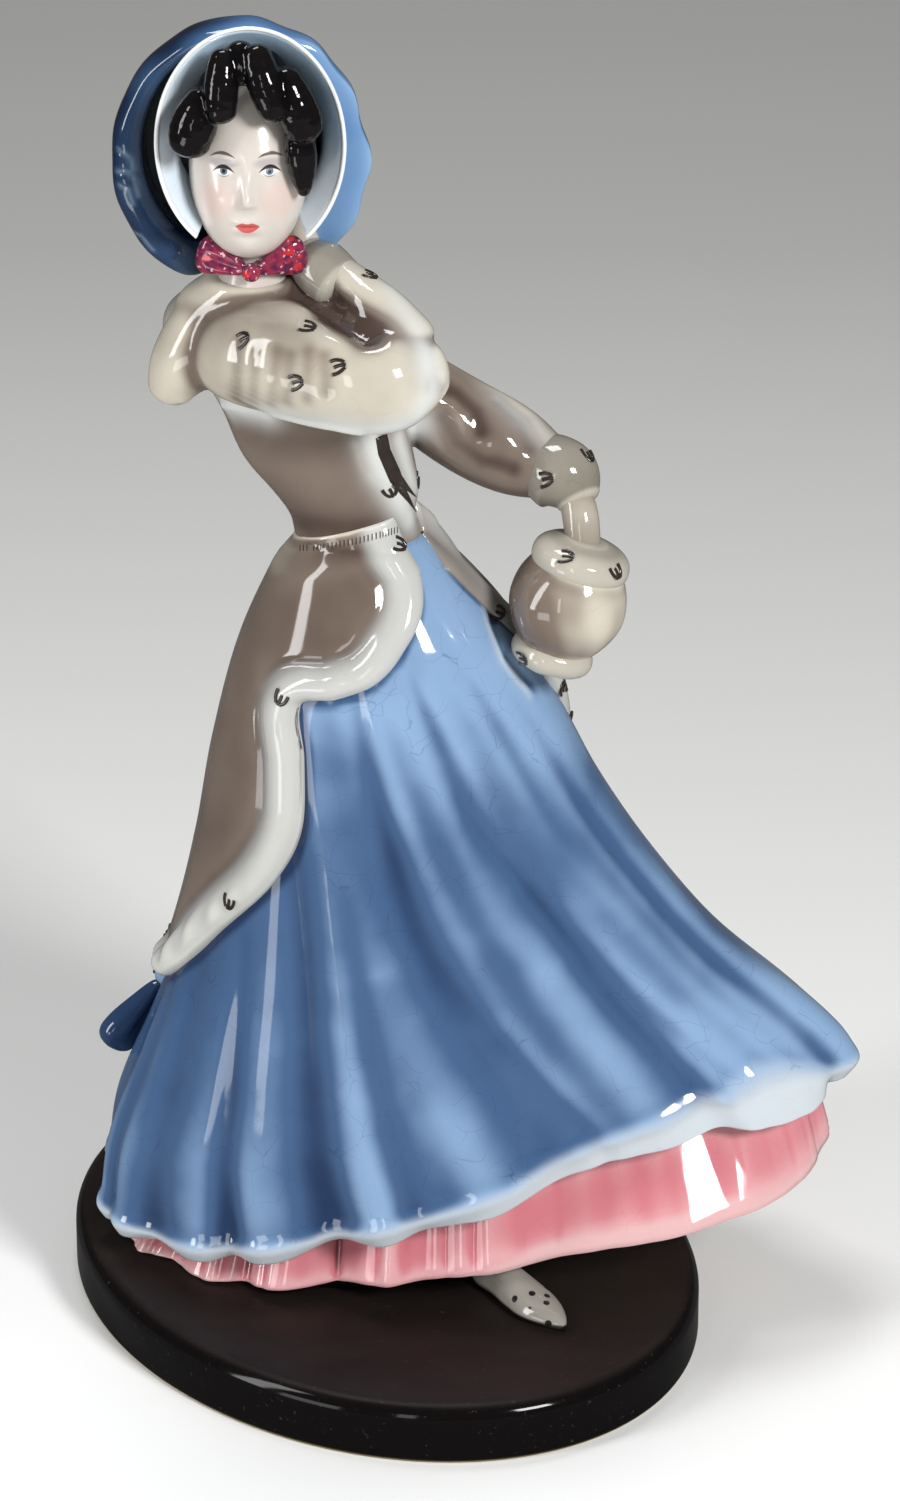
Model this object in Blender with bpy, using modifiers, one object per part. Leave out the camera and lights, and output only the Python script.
"""A glazed earthenware lady in bonnet and fur-edged coat, standing on an oval plinth.

The origin is the centre of the plinth's underside, +Z is up and the lady faces -Y. Angles round the
figure are in degrees, counted from +X over the back at +Y.
"""

import math

import bmesh
import bpy
import numpy as np
from mathutils import Matrix, Vector

MM = 0.001

# Clearance between pieces that touch, and how far a cutter runs past what it cuts
JOINT_GAP = 0.3 * MM
CUT_OVERRUN = 2 * MM

# Plinth
PLINTH_LENGTH = 170 * MM
PLINTH_WIDTH = 134 * MM
PLINTH_HEIGHT = 14 * MM
PLINTH_TURN = 122
PLINTH_WALL = 4.5 * MM
PLINTH_EDGE = 4 * MM
PLINTH_FOOT_EDGE = 1.2 * MM
VENT_DIAMETER = 3.5 * MM
VENT_PLACE = (-27 * MM, 27 * MM)

# Skirt: a flared shell whose middle drifts from the waist to the hem
SKIRT_RISE = 176 * MM
WAIST_PLACE = (-4 * MM, 0)
HEM_PLACE = (20 * MM, 3 * MM)
SKIRT_WALL = 3.5 * MM
WAIST_SIDE = 13.5 * MM
WAIST_DEPTH = 10 * MM
HEM_SIDE = 88 * MM
HEM_FRONT = 47 * MM
HEM_BACK = 54 * MM
# Share of the drop, and the share reached there of the flare at the sides, of the flare at the front and
# back, and of the drift
SKIRT_FLARE = ((0, 0, 0, 0), (0.15, 0.185, 0.33, 0.12), (0.3, 0.315, 0.47, 0.25), (0.45, 0.415, 0.55, 0.37),
               (0.6, 0.55, 0.66, 0.5), (0.75, 0.725, 0.79, 0.64), (0.88, 0.9, 0.91, 0.82), (1, 1, 1, 1))
HEM_LIFT = 25.5 * MM
HEM_TILT = 18 * MM
HEM_TILT_TOWARDS = 5
HEM_WAVE = 4 * MM
HEM_WAVE_TOWARDS = 315
# How quickly a fold swings from its first angle to its angle at the hem
FOLD_SWING = 1.6
# Folds of the skirt: angle where it starts, angle at the hem, share of the drop where it starts,
# half width in degrees, depth
SKIRT_FOLDS = ((231, 249, 0.36, 6, 4 * MM), (244, 286, 0.26, 11, 6 * MM), (261, 267, 0.66, 5, 2 * MM),
               (268, 300, 0.24, 6, 2 * MM), (299, 310, 0.3, 9, 5 * MM), (322, 344, 0.26, 9, 4 * MM),
               (357, 368, 0.4, 6, 2.5 * MM), (203, 212, 0.5, 8, 3 * MM), (28, 30, 0.4, 9, 4 * MM),
               (56, 60, 0.45, 9, 5 * MM), (86, 90, 0.4, 9, 4 * MM), (114, 118, 0.45, 9, 5 * MM),
               (142, 146, 0.4, 9, 4 * MM), (172, 178, 0.45, 9, 4 * MM))

# Petticoat and the floor that closes it
PETTICOAT_INSET = 6.5 * MM
PETTICOAT_WALL = 3 * MM
PETTICOAT_TUCK = 4 * MM
PETTICOAT_LIFT = 12 * MM
PETTICOAT_TILT = 10 * MM
PETTICOAT_TILT_TOWARDS = 20
PETTICOAT_WAVE = 2.5 * MM
PETTICOAT_PLEATS = 30
PLEAT_DEPTH = 0.9 * MM
PETTICOAT_ROLL = 0.9 * MM
FLOOR_THICKNESS = 3 * MM
FLOOR_RECESS = 4 * MM

# Mound between the plinth and the floor of the skirt
MOUND_PLACE = (-8 * MM, 3 * MM)
MOUND_LENGTH = 84 * MM
MOUND_WIDTH = 54 * MM
MOUND_SPREAD = 3 * MM

# Shoe and ankle
SHOE_HEEL = (22 * MM, -22 * MM)
SHOE_LENGTH = 31 * MM
SHOE_WIDTH = 11 * MM
SHOE_HEIGHT = 9 * MM
SHOE_TURN = -52
SHOE_SOLE_WIDTH = 0.92
SHOE_SOLE_HEIGHT = 0.1
# Share of the length, and the share of the width and of the height there
SHOE_STATIONS = ((0, 0.45, 0.75), (0.1, 0.68, 1), (0.3, 0.72, 0.98), (0.5, 0.9, 0.8),
                 (0.7, 0.95, 0.6), (0.85, 0.68, 0.46), (0.96, 0.3, 0.3), (1, 0.1, 0.2))
ANKLE_RADIUS = 4 * MM

# Coat skirt: a shell over the skirt from the waist to its own edge
COAT_THICKNESS = 3 * MM
COAT_BORDER = 1.2 * MM
COAT_BORDER_WIDTH = 11 * MM
COAT_LIP = 2.6 * MM
COAT_EDGE_THICKNESS = 0.9 * MM
# How much of the skirt's folds shows through the coat
COAT_FOLDED = 0.35
# Edge of the coat: angle at the waist, angle at the edge, share of the skirt's drop at the edge
COAT_EDGE = ((313, 314, 0.03), (303, 303, 0.08), (290, 288, 0.125), (274, 270, 0.172), (256, 253, 0.19),
             (238, 236, 0.2), (222, 239, 0.275), (208, 239, 0.37), (192, 230, 0.45), (176, 213, 0.525),
             (158, 183, 0.65), (130, 150, 0.69), (100, 112, 0.69), (72, 76, 0.65), (48, 46, 0.52),
             (28, 22, 0.36), (12, 4, 0.22), (0, -12, 0.12), (-10, -20, 0.05))

# Bow at the back of the coat
BACK_BOW_ANGLE = 152
BACK_BOW_DROP = 0.75
BACK_BOW_LOOP = 20 * MM
BACK_BOW_WIDTH = 12 * MM
BACK_BOW_THICKNESS = 7 * MM
BACK_BOW_DROOP = 50
BACK_BOW_REACH = 12.3 * MM

# Bodice: rings as height above the waist, place from the waist's middle, half width, half depth
BODICE_RINGS = ((0, -1, 0, 15.5, 11.5), (9, -3, 0, 16.5, 12.2), (18, -7, -0.5, 18.5, 13),
                (30, -11, -1, 19.5, 13.5), (42, -16, -2, 20.5, 14), (52, -20.5, -3, 20, 13),
                (58, -22.5, -4, 15.5, 11), (62, -23, -5, 9.5, 8.5))
BODICE_WALL = 4.5 * MM
BODICE_HOLLOW = 40 * MM
NECK_SEAT = (-23 * MM, -5.5 * MM, 62 * MM)

# Head on its neck
HEAD_RISE = 26.5 * MM
HEAD_OFFSET = (-0.5 * MM, -1.5 * MM)
HEAD_WIDTH = 25.5 * MM
HEAD_DEPTH = 28 * MM
HEAD_HEIGHT = 42 * MM
HEAD_CHIN = 0.42
HEAD_CHIN_DEPTH = 0.25
HEAD_PITCH = 8
NECK_RADIUS = 6.5 * MM

# Hair
HAIR_THICKNESS = 2 * MM
HAIR_SETBACK = 1 * MM
HAIR_SLOPE = 40
# Curls: name, points from the head's middle with the radius there, all in millimetres
HAIR_CURLS = (("curl_left_low", ((-9.5, -11.5, 13.5, 3), (-11.2, -12.5, 9, 4.2), (-12.2, -11.8, 4.5, 3.6))),
              ("curl_left_high", ((-5, -12, 21.5, 2.6), (-5.2, -13.6, 17, 3.7), (-5, -14, 12.5, 3))),
              ("curl_middle", ((-1.6, -11.8, 23, 1.8), (-1.4, -13.4, 20.5, 2.3), (-1.2, -13.8, 18, 1.8))),
              ("curl_right_high", ((2.4, -12, 22, 2.8), (4.2, -13.4, 17.5, 3.8), (6, -13.8, 13, 3))),
              ("curl_right_low", ((8.4, -11.8, 17.5, 2.8), (11, -12.2, 12.5, 3.8), (12.4, -11.5, 8, 3))),
              ("ringlet", ((10.6, -11, 8, 2.4), (11.4, -11.6, 2.5, 2.9), (12, -11, -2.5, 1.6))))

# Bonnet: the brim is a funnel round the face, the hood a gathered bag behind it
BRIM_OFFSET = (0.7 * MM, 0, 6.3 * MM)
BRIM_FRONT = 7.5 * MM
BRIM_LENGTH = 25 * MM
BRIM_SIDE = 20.3 * MM
BRIM_RISE = 26 * MM
BRIM_BACK_SIDE = 16 * MM
BRIM_BACK_RISE = 19.5 * MM
BRIM_DROP = 5 * MM
BRIM_WALL = 1.8 * MM
BRIM_OPENING = 72
BRIM_FLARE = 1.5
HOOD_OFFSET = (-2.1 * MM, 7 * MM, -2.2 * MM)
HOOD_SIDE = 27.5 * MM
HOOD_RISE = 30.5 * MM
HOOD_DEPTH = 29 * MM
HOOD_WALL = 2.2 * MM
HOOD_RECESS = 7 * MM
HOOD_BACK_BEND = 84
HOOD_LINING_WALL = 2.9 * MM
HOOD_LINING_END = 0.3
HOOD_NOTCH_WIDTH = 20 * MM
HOOD_NOTCH_DEPTH = 17 * MM
HOOD_NOTCH_TOP = 12 * MM

# Neck bow
BOW_PLACE = (0, -9.5 * MM, 4 * MM)
BOW_LOOP = 11.5 * MM
BOW_HEIGHT = 8 * MM
BOW_THICKNESS = 5 * MM
BOW_LIFT = 14
BOW_SWEEP = 24
BOW_PINCH_THICKNESS = 0.6
BOW_PINCH_HEIGHT = 0.45
BOW_KNOT = 4 * MM
BOW_REACH = 7 * MM

# Cape over the shoulders: rings as height above the waist, place from the waist, half width, half depth
CAPE_RINGS = ((58.5, -22.5, -2, 12.5, 12), (53, -21.5, -1, 20, 16.5), (44, -19.5, 0, 23.5, 18.5),
              (36, -19, 1, 24.5, 19.5), (30, -19, 1.5, 24.8, 20))
CAPE_FROM = 24
CAPE_TO = 205
CAPE_WALL = 2.4 * MM

# Sleeves and hands: points from the waist's middle with the radius there, all in millimetres
RAISED_UPPER_SLEEVE = ((-29, -4, 44, 9), (-27, -10, 46.5, 11.5), (-18, -17, 48, 12.6), (-6, -23, 47, 12.8),
                       (4, -25, 45.5, 12.6), (11.5, -24, 46, 10.5), (16.5, -23, 47, 6))
RAISED_FOREARM = ((8, -20, 50, 9.5), (4, -17, 55, 8.6), (-1, -13, 59, 7), (-6.5, -8.5, 62.5, 6),
                  (-10, -5, 65, 5.4))
RAISED_HAND = ((-10.5, -4.5, 65.4, 3.4), (-12, -2.5, 67.5, 3.6), (-13, 0, 70, 3.4), (-13.4, 2, 73, 2.2))
RAISED_CUFF = (-8, -7, 63.5, 5.9)
LOWERED_SLEEVE = ((-8, 6, 46, 8.4), (2, 9, 36.5, 9), (12, 11, 28, 9.6), (22, 10.5, 21, 10.4),
                  (31, 9, 16.5, 10.4), (38, 7, 13.4, 8.8), (43.5, 4.5, 11.6, 6))
LOWERED_CUFF = (45.8, 2.6, 10.4, 5.6)
LOWERED_HAND = ((46, 2, 10, 3.6), (47.6, -1.5, 6.5, 4), (48.4, -4, 1, 4), (48.6, -5.5, -4.5, 3.6))
CUFF_BEAD = 2.2 * MM

# Muff: rounded barrel with a furred trim at each end
MUFF_TOP = (48.2 * MM, -6 * MM, -3.5 * MM)
MUFF_LEAN = (-6.5 * MM, -1.5 * MM)
MUFF_LENGTH = 23 * MM
MUFF_RADIUS = 13 * MM
MUFF_MOUTH_RADIUS = 8.8 * MM
MUFF_FOOT_RADIUS = 6.4 * MM
MUFF_FULLNESS = 0.8
MUFF_TRIM = 2.9 * MM
# Where the middles of the trims sit, as a share of the length
MUFF_TOP_TRIM_AT = 0.06
MUFF_END_TRIM_AT = 1.02

# Colours as linear red, green and blue
BLACK_GLAZE = (0.016, 0.013, 0.012)
BLUE_GLAZE = (0.12, 0.26, 0.5)
PALE_BLUE_GLAZE = (0.45, 0.6, 0.75)
ROSE_GLAZE = (0.65, 0.22, 0.26)
FUR_GLAZE = (0.45, 0.39, 0.36)
TRIM_GLAZE = (0.58, 0.57, 0.54)
WHITE_GLAZE = (0.74, 0.7, 0.66)
RIBBON_GLAZE = (0.3, 0.03, 0.07)

# Facets and rows
SKIRT_FACETS = 56
SKIRT_OUTSIDE_ROWS = (0, 0.06, 0.13, 0.22, 0.34, 0.47, 0.6, 0.72, 0.83, 0.93, 1)
SKIRT_INSIDE_ROWS = (1, 0.72, 0.34, 0)
PLINTH_FACETS = 40
PLINTH_EDGE_STEPS = 3
COAT_COLUMNS = 36
COAT_ROWS = 8
BODICE_ROWS = 11
BODICE_HOLLOW_ROWS = 6
FUNNEL_FACETS = 26
BRIM_ROWS = 5
HOOD_ROWS = 7
CAPE_COLUMNS = 16
CAPE_ROWS = 6
MUFF_ROWS = 7
SHOE_UPPER_FACETS = 8
SHOE_SOLE_FACETS = 5
RING_FACETS = 20
TUBE_FACETS = 10
TURN_STEPS = 18
BEAD_FACETS = 7
SHARP_ANGLE = 50

# Points closer than this are one point, and the step of drop that shows which way the skirt falls
WELD = 0.003 * MM
SCREW_WELD = 0.05 * MM
PROBE_DROP = 0.02

WAIST_Z = PLINTH_HEIGHT + SKIRT_RISE
WAIST = np.array((*WAIST_PLACE, WAIST_Z))
NECK = WAIST + np.array(NECK_SEAT)
HEAD = NECK + np.array((*HEAD_OFFSET, HEAD_RISE))


def clear_scene():
    """An empty scene with one collection for the figure and one for the cutters."""
    for obj in list(bpy.data.objects):
        bpy.data.objects.remove(obj, do_unlink=True)
    figure = bpy.data.collections.new("ceramic_lady")
    cutters = bpy.data.collections.new("cutters")
    for group in (figure, cutters):
        bpy.context.scene.collection.children.link(group)
    cutters.hide_render = True
    return figure, cutters


FIGURE, CUTTERS = clear_scene()


def glaze(name, colour, roughness=0.12):
    """A Principled material for one kind of glaze."""
    material = bpy.data.materials.new(name)
    material.use_nodes = True
    shader = material.node_tree.nodes["Principled BSDF"]
    shader.inputs["Base Color"].default_value = (*colour, 1)
    shader.inputs["Roughness"].default_value = roughness
    shader.inputs["Metallic"].default_value = 0
    return material


def add_object(name, mesh, group):
    obj = bpy.data.objects.new(name, mesh)
    group.objects.link(obj)
    return obj


def piece(name, mesh, colour):
    """A finished piece of the figure, smooth but for its sharp edges, with a glaze of its own."""
    obj = add_object(name, mesh, FIGURE)
    mesh.materials.clear()
    mesh.materials.append(glaze(name + "_glaze", colour))
    mesh.shade_smooth()
    mesh.set_sharp_from_angle(angle=math.radians(SHARP_ANGLE))
    return obj


def through(stations, values, at):
    """A smooth curve through the values given at rising stations."""
    stations = np.asarray(stations, float)
    values = np.asarray(values, float)
    at = np.clip(at, stations[0], stations[-1])
    slope = np.gradient(values, stations)
    i = np.clip(np.searchsorted(stations, at, side="right") - 1, 0, len(stations) - 2)
    width = stations[i + 1] - stations[i]
    s = (at - stations[i]) / width
    rise = values[i + 1] - values[i]
    start = slope[i] * width
    end = slope[i + 1] * width
    return values[i] + start * s + (3 * rise - 2 * start - end) * s**2 + (start + end - 2 * rise) * s**3


def unit(angle):
    """The direction of an angle in degrees, across and away from the viewer."""
    return np.stack([np.cos(np.radians(angle)), np.sin(np.radians(angle))], -1)


def angles(count):
    return np.arange(count) * 360 / count


def loft(rings, closed=False):
    """A mesh with a skin from ring to ring. The ends are capped, or joined to each other if closed."""
    rings = np.asarray(rings, float)
    rows, columns = rings.shape[:2]
    shape = bmesh.new()
    verts = [[shape.verts.new(point) for point in ring] for ring in rings]
    for row in range(rows if closed else rows - 1):
        below = verts[row]
        above = verts[(row + 1) % rows]
        for column in range(columns):
            after = (column + 1) % columns
            shape.faces.new((below[column], below[after], above[after], above[column]))
    if not closed:
        shape.faces.new(verts[0][::-1])
        shape.faces.new(verts[-1])
    return finished(shape)


def finished(shape):
    """The bmesh as a mesh of triangles that face outwards."""
    bmesh.ops.remove_doubles(shape, verts=shape.verts, dist=WELD)
    bmesh.ops.recalc_face_normals(shape, faces=shape.faces)
    bmesh.ops.triangulate(shape, faces=shape.faces)
    mesh = bpy.data.meshes.new("shape")
    shape.to_mesh(mesh)
    shape.free()
    return mesh


def patch(outer, inner):
    """A closed shell between two grids of points that face each other."""
    outer = np.asarray(outer, float)
    around = [np.concatenate([outer[i], inner[i][::-1]]) for i in range(len(outer))]
    return loft(around)


def from_curve(points, radii):
    """A round tube along points, with a radius at each, as a mesh with welded caps."""
    curve = bpy.data.curves.new("tube", "CURVE")
    curve.dimensions = "3D"
    curve.bevel_depth = 1
    curve.bevel_resolution = TUBE_FACETS // 2 - 2
    curve.use_fill_caps = True
    curve.resolution_u = 2
    spline = curve.splines.new("NURBS")
    spline.points.add(len(points) - 1)
    for spot, point, radius in zip(spline.points, points, radii):
        spot.co = (*point, 1)
        spot.radius = radius
    spline.order_u = 3
    spline.use_endpoint_u = True
    guide = add_object("tube_guide", curve, CUTTERS)
    graph = bpy.context.evaluated_depsgraph_get()
    graph.update()
    mesh = bpy.data.meshes.new_from_object(guide.evaluated_get(graph))
    bpy.data.objects.remove(guide)
    shape = bmesh.new()
    shape.from_mesh(mesh)
    bpy.data.meshes.remove(mesh)
    return finished(shape)


def tube(rows, origin=WAIST):
    """A tube through rows of place and radius in millimetres from an origin."""
    rows = np.array(rows) * MM
    return from_curve(rows[:, :3] + origin, rows[:, 3])


def turned(profile):
    """A mesh turned round +Z from a profile of radius and height, which runs down its outer side."""
    mesh = bpy.data.meshes.new("profile")
    corners = [(radius, 0, height) for radius, height in profile]
    mesh.from_pydata(corners, [(i, i + 1) for i in range(len(corners) - 1)], [])
    guide = add_object("profile_guide", mesh, CUTTERS)
    screw = guide.modifiers.new("turn", "SCREW")
    screw.steps = TURN_STEPS
    screw.render_steps = TURN_STEPS
    screw.use_merge_vertices = True
    screw.merge_threshold = SCREW_WELD
    graph = bpy.context.evaluated_depsgraph_get()
    graph.update()
    spun = bpy.data.meshes.new_from_object(guide.evaluated_get(graph))
    bpy.data.objects.remove(guide)
    shape = bmesh.new()
    shape.from_mesh(spun)
    return finished(shape)


def ball(width, depth, height, shape_of=None, facets=TUBE_FACETS):
    """A sphere scaled to its sizes, and then bent by a function of its points if one is given."""
    shape = bmesh.new()
    bmesh.ops.create_uvsphere(shape, u_segments=facets, v_segments=facets * 2 // 3, radius=0.5)
    for vert in shape.verts:
        vert.co = Vector((vert.co.x * width, vert.co.y * depth, vert.co.z * height))
        if shape_of:
            vert.co = shape_of(vert.co)
    return finished(shape)


def block_mesh(low, high):
    """A box between two opposite corners."""
    low = Vector(low)
    high = Vector(high)
    shape = bmesh.new()
    bmesh.ops.create_cube(shape, size=1)
    bmesh.ops.scale(shape, vec=high - low, verts=shape.verts)
    bmesh.ops.translate(shape, vec=(low + high) / 2, verts=shape.verts)
    return finished(shape)


def bead_ring(radius, thickness):
    """A round ring about +Z."""
    around = unit(angles(TURN_STEPS))
    section = unit(angles(BEAD_FACETS))
    rings = [[(*(radius + thickness * s[0]) * a, thickness * s[1]) for s in section] for a in around]
    return loft(rings, closed=True)


def placed(mesh, place, turn=None):
    """The mesh turned by a matrix and then moved."""
    matrix = Matrix.Translation(Vector(place))
    if turn is not None:
        matrix = matrix @ turn.to_4x4()
    mesh.transform(matrix)
    return mesh


def facing(direction):
    """The turn that takes +Z to a direction."""
    return Vector((0, 0, 1)).rotation_difference(Vector(direction)).to_matrix()


def grown(mesh, gap=JOINT_GAP):
    """A copy of the mesh that stands proud of it by the gap."""
    copy = mesh.copy()
    shape = bmesh.new()
    shape.from_mesh(copy)
    shape.normal_update()
    moves = [vert.normal * gap * vert.calc_shell_factor() for vert in shape.verts]
    for vert, move in zip(shape.verts, moves):
        vert.co += move
    shape.to_mesh(copy)
    shape.free()
    return copy


def largest_body(mesh):
    """The mesh with only its largest connected body."""
    shape = bmesh.new()
    shape.from_mesh(mesh)
    bmesh.ops.remove_doubles(shape, verts=shape.verts, dist=WELD)
    left = set(shape.verts)
    bodies = []
    while left:
        front = [left.pop()]
        body = set(front)
        while front:
            vert = front.pop()
            for edge in vert.link_edges:
                other = edge.other_vert(vert)
                if other in left:
                    left.remove(other)
                    body.add(other)
                    front.append(other)
        bodies.append(body)
    keep = max(bodies, key=body_extent)
    bmesh.ops.delete(shape, geom=[vert for vert in shape.verts if vert not in keep], context="VERTS")
    shape.to_mesh(mesh)
    shape.free()
    return mesh


def body_extent(body):
    """The volume of the box round a set of vertices."""
    places = np.array([vert.co for vert in body])
    return np.prod(np.ptp(places, axis=0))


def combined(mesh, others, operation):
    """The mesh after a Boolean with each of the other meshes."""
    target = add_object("target", mesh, CUTTERS)
    tools = []
    for other in others:
        tool = add_object("cutter", other, CUTTERS)
        tool.hide_render = True
        tool.display_type = "WIRE"
        tools.append(tool)
        cut = target.modifiers.new("cut", "BOOLEAN")
        cut.operation = operation
        cut.object = tool
    graph = bpy.context.evaluated_depsgraph_get()
    graph.update()
    result = bpy.data.meshes.new_from_object(target.evaluated_get(graph))
    for obj in (target, *tools):
        bpy.data.objects.remove(obj)
    return result


def carved(mesh, *neighbours):
    """The mesh cut clear of its neighbours by the joint gap."""
    for other in neighbours:
        mesh = largest_body(combined(mesh, [grown(other)], "DIFFERENCE"))
    return mesh


def joined(mesh, *others):
    return largest_body(combined(mesh, others, "UNION"))


def hem_height(angle):
    """Height of the skirt's hem round the figure."""
    tilt = HEM_TILT * np.cos(np.radians(angle - HEM_TILT_TOWARDS))
    wave = HEM_WAVE * np.cos(np.radians(2 * (angle - HEM_WAVE_TOWARDS)))
    return PLINTH_HEIGHT + HEM_LIFT + tilt + wave


def fold_depth(angle, drop):
    """How far the folds of the skirt sink in at an angle and a share of the drop."""
    depth = np.zeros(np.broadcast(angle, drop).shape)
    for start, end, begins, half_width, deepest in SKIRT_FOLDS:
        along = np.clip((drop - begins) / (1 - begins), 0, 1)
        middle = start + (end - start) * (1 - (1 - along) ** FOLD_SWING)
        away = (angle - middle + 180) % 360 - 180
        depth = depth + deepest * np.sqrt(along) * np.exp(-((away / half_width) ** 2))
    return depth


def skirt_point(angle, drop, offset=0.0, folded=1.0):
    """A point of the skirt's outside, moved outwards by an offset."""
    angle = np.asarray(angle, float)
    drop = np.asarray(drop, float)
    angle, drop = np.broadcast_arrays(angle, drop)
    stations, side_share, depth_share, drift_share = np.array(SKIRT_FLARE).T
    side = WAIST_SIDE + (HEM_SIDE - WAIST_SIDE) * through(stations, side_share, drop)
    hem_depth = np.where(np.sin(np.radians(angle)) < 0, HEM_FRONT, HEM_BACK)
    depth = WAIST_DEPTH + (hem_depth - WAIST_DEPTH) * through(stations, depth_share, drop)
    way = unit(angle)
    spread = np.stack([side, depth], -1)
    outward = way / spread
    outward = outward / np.linalg.norm(outward, axis=-1, keepdims=True)
    drift = through(stations, drift_share, drop)[..., None]
    middle = np.array(WAIST_PLACE) + (np.array(HEM_PLACE) - np.array(WAIST_PLACE)) * drift
    across = middle + spread * way + outward * (offset - folded * fold_depth(angle, drop))[..., None]
    height = WAIST_Z - (WAIST_Z - hem_height(angle)) * drop
    return np.concatenate([across, height[..., None]], -1)


def skirt_mesh():
    """The folded shell of the skirt, open at the waist and at the rounded hem."""
    around = angles(SKIRT_FACETS)
    rings = [skirt_point(around, drop) for drop in SKIRT_OUTSIDE_ROWS]
    lip = skirt_point(around, 1, -SKIRT_WALL / 2)
    lip[:, 2] -= SKIRT_WALL / 3
    rings.append(lip)
    rings += [skirt_point(around, drop, -SKIRT_WALL) for drop in SKIRT_INSIDE_ROWS]
    return loft(rings, closed=True)


def petticoat_height(angle):
    """Height of the petticoat's lower edge, which stays clear of the plinth."""
    tilt = PETTICOAT_TILT * np.cos(np.radians(angle - PETTICOAT_TILT_TOWARDS))
    wave = PETTICOAT_WAVE * np.cos(np.radians(2 * (angle - HEM_WAVE_TOWARDS)))
    return PLINTH_HEIGHT + np.maximum(PETTICOAT_LIFT + tilt + wave, JOINT_GAP)


def petticoat_mesh():
    """A pleated band inside the skirt's hem, down to its own lower edge."""
    around = angles(2 * PETTICOAT_PLEATS)
    pleat = PLEAT_DEPTH * (np.arange(len(around)) % 2)
    inset = PETTICOAT_INSET + pleat
    hem = hem_height(around)
    low = petticoat_height(around)

    def ring(extra, height):
        points = skirt_point(around, 1, 0)
        points = points + (skirt_point(around, 1, -1) - points) * (inset + extra)[:, None]
        points[:, 2] = height
        return points

    top = hem + PETTICOAT_TUCK
    rings = [ring(0, top), ring(0, hem), ring(0, (hem + low) / 2), ring(PETTICOAT_ROLL, low)]
    rings += [ring(PETTICOAT_WALL, low), ring(PETTICOAT_WALL, (hem + low) / 2), ring(PETTICOAT_WALL, top)]
    return loft(rings, closed=True)


def floor_height(points):
    """Height of the floor's underside over points of the plan: the plane of the petticoat's edge."""
    across = (points[:, 0] - HEM_PLACE[0]) / (HEM_SIDE - PETTICOAT_INSET)
    away = (points[:, 1] - HEM_PLACE[1]) / ((HEM_FRONT + HEM_BACK) / 2 - PETTICOAT_INSET)
    towards = unit(PETTICOAT_TILT_TOWARDS)
    plane = across * towards[0] + away * towards[1]
    return PLINTH_HEIGHT + PETTICOAT_LIFT + FLOOR_RECESS + PETTICOAT_TILT * plane


def floor_mesh():
    """The floor of the skirt, with its edge inside the wall of the petticoat that trims it."""
    around = angles(PETTICOAT_PLEATS)
    edge = skirt_point(around, 1)
    inward = skirt_point(around, 1, -1) - edge
    edge = edge + inward * (PETTICOAT_INSET + PLEAT_DEPTH + PETTICOAT_WALL / 2)
    middle = np.array((*HEM_PLACE, 0))
    vent = middle + VENT_DIAMETER / 2 * np.pad(unit(around), ((0, 0), (0, 1)))
    for ring in (edge, vent):
        ring[:, 2] = floor_height(ring)
    thick = np.array((0, 0, FLOOR_THICKNESS))
    return loft([edge, edge + thick, vent + thick, vent], closed=True)


def mound_mesh():
    """A low stand from the plinth up to the floor of the skirt."""
    around = angles(RING_FACETS)
    oval = unit(around) * np.array((MOUND_LENGTH, MOUND_WIDTH)) / 2
    top = np.array(MOUND_PLACE) + oval
    foot = np.array(MOUND_PLACE) + oval + unit(around) * MOUND_SPREAD
    low = np.full(len(around), PLINTH_HEIGHT + JOINT_GAP)
    high = floor_height(top) - JOINT_GAP
    rings = [np.column_stack([foot, low]), np.column_stack([(foot + 2 * top) / 3, (low + high) / 2]),
             np.column_stack([top, high])]
    return loft(rings)


def oval_ring(length, width, height, facets=PLINTH_FACETS):
    """A ring of the plinth's oval, turned to its place."""
    turn = math.radians(PLINTH_TURN)
    oval = unit(angles(facets)) * np.array((length, width)) / 2
    across = oval[:, 0] * math.cos(turn) - oval[:, 1] * math.sin(turn)
    away = oval[:, 0] * math.sin(turn) + oval[:, 1] * math.cos(turn)
    return np.column_stack([across, away, np.full(facets, height)])


def plinth_mesh():
    """An oval plinth with a flat underside, hollow inside and vented through the underside."""
    def ring(inset, height):
        return oval_ring(PLINTH_LENGTH - 2 * inset, PLINTH_WIDTH - 2 * inset, height)

    rings = [ring(PLINTH_FOOT_EDGE, 0), ring(0, PLINTH_FOOT_EDGE)]
    for bend in np.radians(np.linspace(0, 90, PLINTH_EDGE_STEPS + 1)):
        rings.append(ring(PLINTH_EDGE * (1 - math.cos(bend)),
                          PLINTH_HEIGHT - PLINTH_EDGE * (1 - math.sin(bend))))
    hollow = loft([ring(PLINTH_WALL, PLINTH_WALL), ring(PLINTH_WALL, PLINTH_HEIGHT - PLINTH_WALL)])
    vent_ring = np.array(VENT_PLACE) + unit(angles(TUBE_FACETS)) * VENT_DIAMETER / 2
    vent = loft([np.column_stack([vent_ring, np.full(len(vent_ring), height)])
                 for height in (-CUT_OVERRUN, PLINTH_HEIGHT / 2)])
    return combined(loft(rings), [joined(hollow, vent)], "DIFFERENCE")


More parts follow.
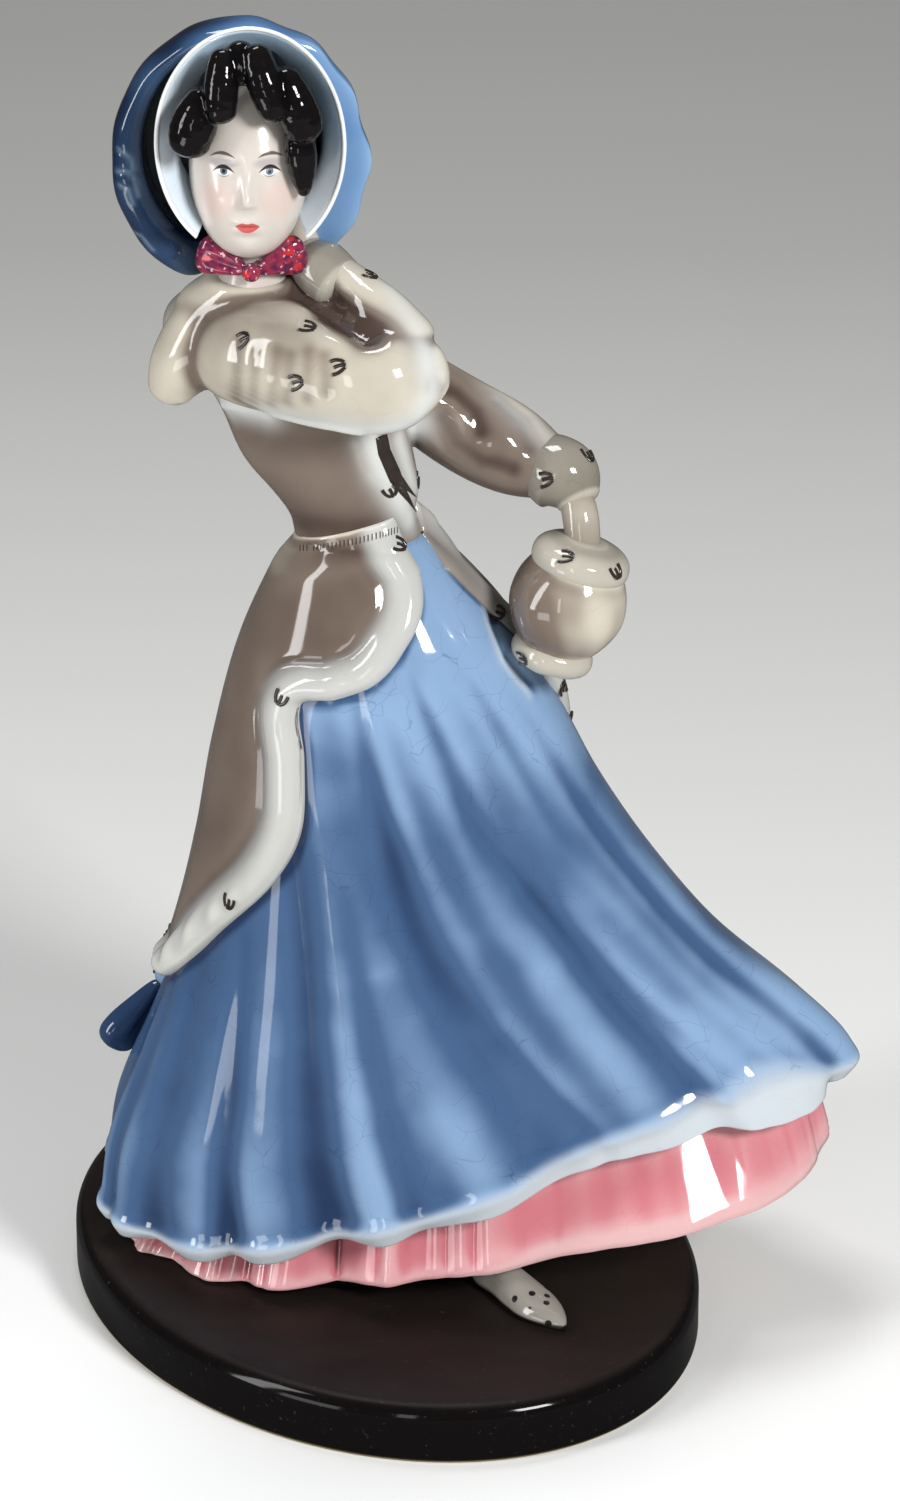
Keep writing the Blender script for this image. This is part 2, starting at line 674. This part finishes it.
def shoe_mesh():
    """A pointed shoe: a rounded upper over a flat sole, from heel to toe."""
    bend = np.radians(np.linspace(0, 180, SHOE_UPPER_FACETS + 1))
    sole = np.linspace(-SHOE_SOLE_WIDTH, SHOE_SOLE_WIDTH, SHOE_SOLE_FACETS)
    upper = SHOE_SOLE_HEIGHT + (1 - SHOE_SOLE_HEIGHT) * np.sin(bend)
    rings = []
    for along, wide, tall in SHOE_STATIONS:
        across = np.concatenate([np.cos(bend), sole]) * wide * SHOE_WIDTH / 2
        height = np.concatenate([upper, np.zeros_like(sole)]) * tall * SHOE_HEIGHT
        rings.append(np.column_stack([np.full(len(across), along * SHOE_LENGTH), across, height]))
    place = (*SHOE_HEEL, PLINTH_HEIGHT + JOINT_GAP)
    return placed(loft(rings), place, Matrix.Rotation(math.radians(SHOE_TURN), 3, "Z"))


def ankle_mesh():
    forward = unit(SHOE_TURN) * SHOE_WIDTH / 2
    heel = np.array(SHOE_HEEL) + forward
    sole = PLINTH_HEIGHT + SHOE_HEIGHT / 2
    head = floor_height(heel[None, :])[0] + FLOOR_THICKNESS
    points = [(*heel, sole), (*heel, (sole + head) / 2), (*heel, head)]
    return from_curve(points, (ANKLE_RADIUS, ANKLE_RADIUS, ANKLE_RADIUS))


def coat_mesh():
    """The coat's skirt, open down the front, with a rounded border all along its edge."""
    stations = np.linspace(0, 1, len(COAT_EDGE))
    share = np.linspace(0, 1, COAT_COLUMNS)
    waist, edge, drop = (through(stations, values, share) for values in np.array(COAT_EDGE, float).T)
    down = np.linspace(0, 1, COAT_ROWS)[None, :]
    angle = waist[:, None] + (edge - waist)[:, None] * down
    fall = drop[:, None] * down
    bed = skirt_point(angle, fall)
    from_edge = np.linalg.norm(bed - bed[:, -1:], axis=-1)
    lip = np.clip(from_edge / COAT_LIP, 0, 1)
    swell = COAT_BORDER * np.sin(np.pi * np.clip(from_edge / COAT_BORDER_WIDTH, 0, 1)) ** 2
    rounding = np.sqrt(1 - (1 - lip) ** 2)
    lift = COAT_EDGE_THICKNESS + (COAT_THICKNESS - COAT_EDGE_THICKNESS) * rounding + swell
    outer = skirt_point(angle, fall, JOINT_GAP + lift, COAT_FOLDED)
    bedded = skirt_point(angle, fall, -SKIRT_WALL / 2)
    return patch(outer, bedded)


def back_bow_mesh(side):
    """One loop of the bow at the back of the coat, side -1 or 1."""
    middle = skirt_point(BACK_BOW_ANGLE, BACK_BOW_DROP, BACK_BOW_THICKNESS / 2)
    beside = skirt_point(BACK_BOW_ANGLE + side, BACK_BOW_DROP, BACK_BOW_THICKNESS / 2) - middle
    below = skirt_point(BACK_BOW_ANGLE, BACK_BOW_DROP + PROBE_DROP, BACK_BOW_THICKNESS / 2) - middle
    droop = unit(BACK_BOW_DROOP)
    along = Vector(droop[0] * beside / np.linalg.norm(beside) + droop[1] * below / np.linalg.norm(below))
    along.normalize()
    outward = Vector(below).cross(Vector(beside)).normalized() * side
    turn = Matrix((along, outward.cross(along), outward)).transposed()
    loop = ball(BACK_BOW_LOOP, BACK_BOW_WIDTH, BACK_BOW_THICKNESS)
    return placed(loop, Vector(middle) + along * BACK_BOW_REACH, turn)


def back_knot_mesh():
    middle = skirt_point(BACK_BOW_ANGLE, BACK_BOW_DROP, BACK_BOW_THICKNESS / 2)
    return placed(ball(BACK_BOW_THICKNESS, BACK_BOW_THICKNESS, BACK_BOW_THICKNESS), middle)


def bodice_mesh():
    """The leaning bodice with its shoulders, hollow from the waist up."""
    around = unit(angles(RING_FACETS))
    stations = np.array(BODICE_RINGS) * MM
    heights, across, away, side, depth = stations.T
    rise = np.linspace(heights[0] + JOINT_GAP, heights[-1], BODICE_ROWS)

    def ring(height, inset):
        middle = np.array((through(heights, across, height), through(heights, away, height)))
        spread = np.array((through(heights, side, height), through(heights, depth, height))) - inset
        points = middle + spread * around
        return np.column_stack([points, np.full(len(around), height)]) + WAIST

    hollow = np.linspace(BODICE_HOLLOW, rise[0], BODICE_HOLLOW_ROWS)
    rings = [ring(height, BODICE_WALL) for height in hollow]
    rings += [ring(height, 0) for height in rise]
    return loft(rings)


def head_mesh():
    """A plain egg of a head on a round neck."""
    def egg(point):
        below = max(0, -2 * point.z / HEAD_HEIGHT) ** 2
        return Vector((point.x * (1 - HEAD_CHIN * below), point.y * (1 - HEAD_CHIN_DEPTH * below), point.z))

    pitch = Matrix.Rotation(-math.radians(HEAD_PITCH), 3, "X")
    skull = placed(ball(HEAD_WIDTH, HEAD_DEPTH, HEAD_HEIGHT, egg, RING_FACETS), HEAD, pitch)
    foot = NECK + np.array((0, 0, JOINT_GAP))
    neck = from_curve([foot, (foot + HEAD) / 2, HEAD], [NECK_RADIUS] * 3)
    return joined(skull, neck)


def hair_mesh(head):
    """A cap of hair over the top and back of the head."""
    cap = grown(head, HAIR_THICKNESS)
    reach = HEAD_HEIGHT
    mask = block_mesh((-reach, -HAIR_SETBACK, -reach), (reach, reach, reach))
    placed(mask, HEAD, Matrix.Rotation(math.radians(HAIR_SLOPE), 3, "X"))
    return carved(combined(cap, [mask], "INTERSECT"), head)


def brim_mesh():
    """The funnel of the bonnet, widest at its front edge and open under the chin."""
    around = unit(np.linspace(-90 + BRIM_OPENING / 2, 270 - BRIM_OPENING / 2, FUNNEL_FACETS))
    middle = HEAD + np.array(BRIM_OFFSET)
    front = HEAD[1] - HEAD_DEPTH / 2 + BRIM_FRONT - BRIM_WALL
    along = np.linspace(0, 1, BRIM_ROWS)

    def ring(share, inset):
        flare = (1 - share) ** BRIM_FLARE
        side = BRIM_BACK_SIDE + (BRIM_SIDE - BRIM_BACK_SIDE) * flare - inset
        rise = BRIM_BACK_RISE + (BRIM_RISE - BRIM_BACK_RISE) * flare - inset
        return np.column_stack([middle[0] + side * around[:, 0],
                                np.full(len(around), front + share * BRIM_LENGTH),
                                middle[2] - share * BRIM_DROP + rise * around[:, 1]])

    outer = np.swapaxes([ring(share, 0) for share in along], 0, 1)
    inner = np.swapaxes([ring(share, BRIM_WALL) for share in along], 0, 1)
    return patch(outer, inner)


def hood_mesh():
    """The bag of the bonnet, with a lining set back in its mouth and a notch for the neck."""
    around = unit(angles(FUNNEL_FACETS))
    bag_middle = HEAD + np.array(HOOD_OFFSET)
    seat_middle = HEAD + np.array(BRIM_OFFSET) + np.array((0, HOOD_OFFSET[1], -BRIM_DROP))

    def ring(side, rise, away, middle=bag_middle):
        return np.column_stack([middle[0] + side * around[:, 0], np.full(len(around), middle[1] + away),
                                middle[2] + rise * around[:, 1]])

    bends = np.radians(np.linspace(HOOD_BACK_BEND, 0, HOOD_ROWS))
    bag = [ring(HOOD_SIDE * math.cos(b), HOOD_RISE * math.cos(b), HOOD_DEPTH * math.sin(b)) for b in bends]
    seat_side = BRIM_BACK_SIDE + JOINT_GAP
    seat_rise = BRIM_BACK_RISE + JOINT_GAP
    back = HOOD_RECESS + 2 * HOOD_WALL
    lining = [ring(HOOD_SIDE - HOOD_WALL, HOOD_RISE - HOOD_WALL, 0),
              ring(HOOD_SIDE - HOOD_LINING_WALL, HOOD_RISE - HOOD_LINING_WALL, HOOD_RECESS),
              ring(seat_side, seat_rise, HOOD_RECESS + HOOD_WALL, seat_middle),
              ring(seat_side, seat_rise, back, seat_middle),
              ring(HOOD_LINING_END * seat_side, HOOD_LINING_END * seat_rise, back + HOOD_WALL, seat_middle)]
    corner = np.array((HOOD_NOTCH_WIDTH / 2, 0, 0))
    low = bag_middle - corner - np.array((0, CUT_OVERRUN, HOOD_RISE + CUT_OVERRUN))
    high = bag_middle + corner + np.array((0, HOOD_NOTCH_DEPTH, -HOOD_NOTCH_TOP))
    return largest_body(combined(loft(bag + lining), [block_mesh(low, high)], "DIFFERENCE"))


def bow_loop_mesh(side):
    """One loop of the neck bow, side -1 or 1, pinched towards the knot."""
    def pinched(point):
        outwards = 0.5 + side * point.x / BOW_LOOP
        thick = BOW_PINCH_THICKNESS + (1 - BOW_PINCH_THICKNESS) * outwards
        tall = BOW_PINCH_HEIGHT + (1 - BOW_PINCH_HEIGHT) * outwards
        return Vector((point.x, point.y * thick, point.z * tall))

    loop = ball(BOW_LOOP, BOW_THICKNESS, BOW_HEIGHT, pinched)
    turn = Matrix.Rotation(math.radians(-side * BOW_LIFT), 3, "Y")
    turn = Matrix.Rotation(math.radians(side * BOW_SWEEP), 3, "Z") @ turn
    middle = Vector(NECK + np.array(BOW_PLACE))
    reach = turn @ Vector((side * BOW_REACH, 0, 0))
    return placed(loop, middle + reach, turn)


def bow_knot_mesh():
    return placed(ball(BOW_KNOT, BOW_KNOT, BOW_KNOT), NECK + np.array(BOW_PLACE))


def cape_mesh():
    """A short cape over the shoulders and back, open at the front."""
    way = unit(np.linspace(CAPE_FROM, CAPE_TO, CAPE_COLUMNS))
    heights, across, away, side, depth = (np.array(CAPE_RINGS) * MM)[::-1].T
    levels = np.linspace(heights[-1], heights[0], CAPE_ROWS)

    def ring(height, offset):
        middle = np.array((through(heights, across, height), through(heights, away, height)))
        spread = np.array((through(heights, side, height), through(heights, depth, height))) + offset
        return np.column_stack([middle + spread * way, np.full(len(way), height)]) + WAIST

    outer = np.swapaxes([ring(level, 0) for level in levels], 0, 1)
    inner = np.swapaxes([ring(level, -CAPE_WALL) for level in levels], 0, 1)
    return patch(outer, inner)


def cuff_mesh(row, towards):
    """A beaded cuff round a wrist, at a place with a radius, facing the next point of the arm."""
    row = np.array(row) * MM
    place = WAIST + row[:3]
    direction = WAIST + np.array(towards[:3]) * MM - place
    return placed(bead_ring(row[3], CUFF_BEAD), place, facing(direction))


def muff_turn():
    return facing((*(-np.array(MUFF_LEAN)), MUFF_LENGTH))


def muff_mesh():
    profile = [(0, 0)]
    for share in np.linspace(0, 1, MUFF_ROWS):
        end = MUFF_MOUTH_RADIUS + (MUFF_FOOT_RADIUS - MUFF_MOUTH_RADIUS) * share
        bulge = math.sin(math.pi * share) ** MUFF_FULLNESS
        profile.append((end + (MUFF_RADIUS - end) * bulge, -share * MUFF_LENGTH))
    profile.append((0, -MUFF_LENGTH))
    return placed(turned(profile), WAIST + np.array(MUFF_TOP), muff_turn())


def muff_trim_mesh(share, radius):
    turn = muff_turn()
    along = turn @ Vector((0, 0, -share * MUFF_LENGTH))
    place = Vector(WAIST + np.array(MUFF_TOP)) + along
    return placed(bead_ring(radius, MUFF_TRIM), place, turn)


def build_dress():
    """Plinth, mound, foot and the layers of the dress. Returns the meshes that others are cut by."""
    piece("plinth", plinth_mesh(), BLACK_GLAZE)
    skirt = skirt_mesh()
    petticoat = carved(petticoat_mesh(), skirt)
    floor = carved(floor_mesh(), petticoat)
    shoe = shoe_mesh()
    ankle = carved(ankle_mesh(), shoe, floor)
    piece("mound", carved(mound_mesh(), shoe, ankle, petticoat), BLACK_GLAZE)
    piece("shoe", shoe, WHITE_GLAZE)
    piece("ankle", ankle, WHITE_GLAZE)
    piece("petticoat", petticoat, ROSE_GLAZE)
    piece("skirt", skirt, BLUE_GLAZE)
    piece("skirt_floor", floor, WHITE_GLAZE)
    coat = carved(coat_mesh(), skirt)
    knot = back_knot_mesh()
    for side, name in ((-1, "back_bow_left_loop"), (1, "back_bow_right_loop")):
        piece(name, carved(back_bow_mesh(side), knot, skirt, coat), BLUE_GLAZE)
    piece("back_bow_knot", carved(knot, skirt, coat), BLUE_GLAZE)
    return skirt, coat


def build_arms(skirt, coat):
    """Bodice, sleeves, hands, cuffs, muff and cape."""
    bodice = bodice_mesh()
    upper = carved(tube(RAISED_UPPER_SLEEVE), bodice)
    forearm = carved(tube(RAISED_FOREARM), upper, bodice)
    raised_cuff = carved(cuff_mesh(RAISED_CUFF, RAISED_HAND[1]), forearm, bodice)
    sleeve = carved(tube(LOWERED_SLEEVE), bodice, upper, coat)
    cape = carved(cape_mesh(), bodice, upper, sleeve)
    lowered_cuff = carved(cuff_mesh(LOWERED_CUFF, LOWERED_HAND[1]), sleeve)
    hand = carved(tube(LOWERED_HAND), sleeve, lowered_cuff)
    top_trim = muff_trim_mesh(MUFF_TOP_TRIM_AT, MUFF_MOUTH_RADIUS)
    end_trim = muff_trim_mesh(MUFF_END_TRIM_AT, MUFF_FOOT_RADIUS)
    muff = carved(muff_mesh(), hand, top_trim, end_trim, skirt, coat)
    piece("bodice", bodice, FUR_GLAZE)
    piece("coat_skirt", carved(coat, bodice), FUR_GLAZE)
    piece("raised_upper_sleeve", upper, FUR_GLAZE)
    piece("lowered_sleeve", sleeve, FUR_GLAZE)
    piece("lowered_cuff", lowered_cuff, TRIM_GLAZE)
    piece("lowered_hand", hand, WHITE_GLAZE)
    piece("muff", muff, FUR_GLAZE)
    piece("muff_top_trim", carved(top_trim, hand, skirt, coat), TRIM_GLAZE)
    piece("muff_end_trim", carved(end_trim, skirt, coat), TRIM_GLAZE)
    return bodice, upper, forearm, raised_cuff, cape


def build_head(bodice, upper, forearm, raised_cuff, cape):
    """Head, hair, bonnet, neck bow and the raised hand behind the brim."""
    head = carved(head_mesh(), bodice)
    hair = carved(hair_mesh(head), bodice)
    brim = carved(brim_mesh(), head, hair, bodice)
    cape = carved(cape, head)
    forearm = carved(forearm, brim)
    raised_cuff = carved(raised_cuff, brim)
    hand = carved(tube(RAISED_HAND), brim, forearm, raised_cuff)
    hood = carved(hood_mesh(), brim, head, hair, bodice, cape, forearm, raised_cuff, hand)
    knot = carved(bow_knot_mesh(), head, bodice)
    piece("head", head, WHITE_GLAZE)
    piece("hair", hair, BLACK_GLAZE)
    made = []
    for name, rows in HAIR_CURLS:
        curl = carved(tube(rows, HEAD), head, hair, brim, *made)
        made.append(curl)
        piece(name, curl, BLACK_GLAZE)
    piece("bonnet_brim", brim, PALE_BLUE_GLAZE)
    piece("bonnet_hood", hood, BLUE_GLAZE)
    piece("cape", cape, TRIM_GLAZE)
    piece("raised_forearm_sleeve", forearm, FUR_GLAZE)
    piece("raised_cuff", raised_cuff, TRIM_GLAZE)
    piece("raised_hand", hand, WHITE_GLAZE)
    for side, name in ((-1, "bow_left_loop"), (1, "bow_right_loop")):
        loop = carved(bow_loop_mesh(side), knot, head, bodice, brim, hood, cape, upper, forearm, raised_cuff)
        piece(name, loop, RIBBON_GLAZE)
    piece("bow_knot", knot, RIBBON_GLAZE)


build_head(*build_arms(*build_dress()))
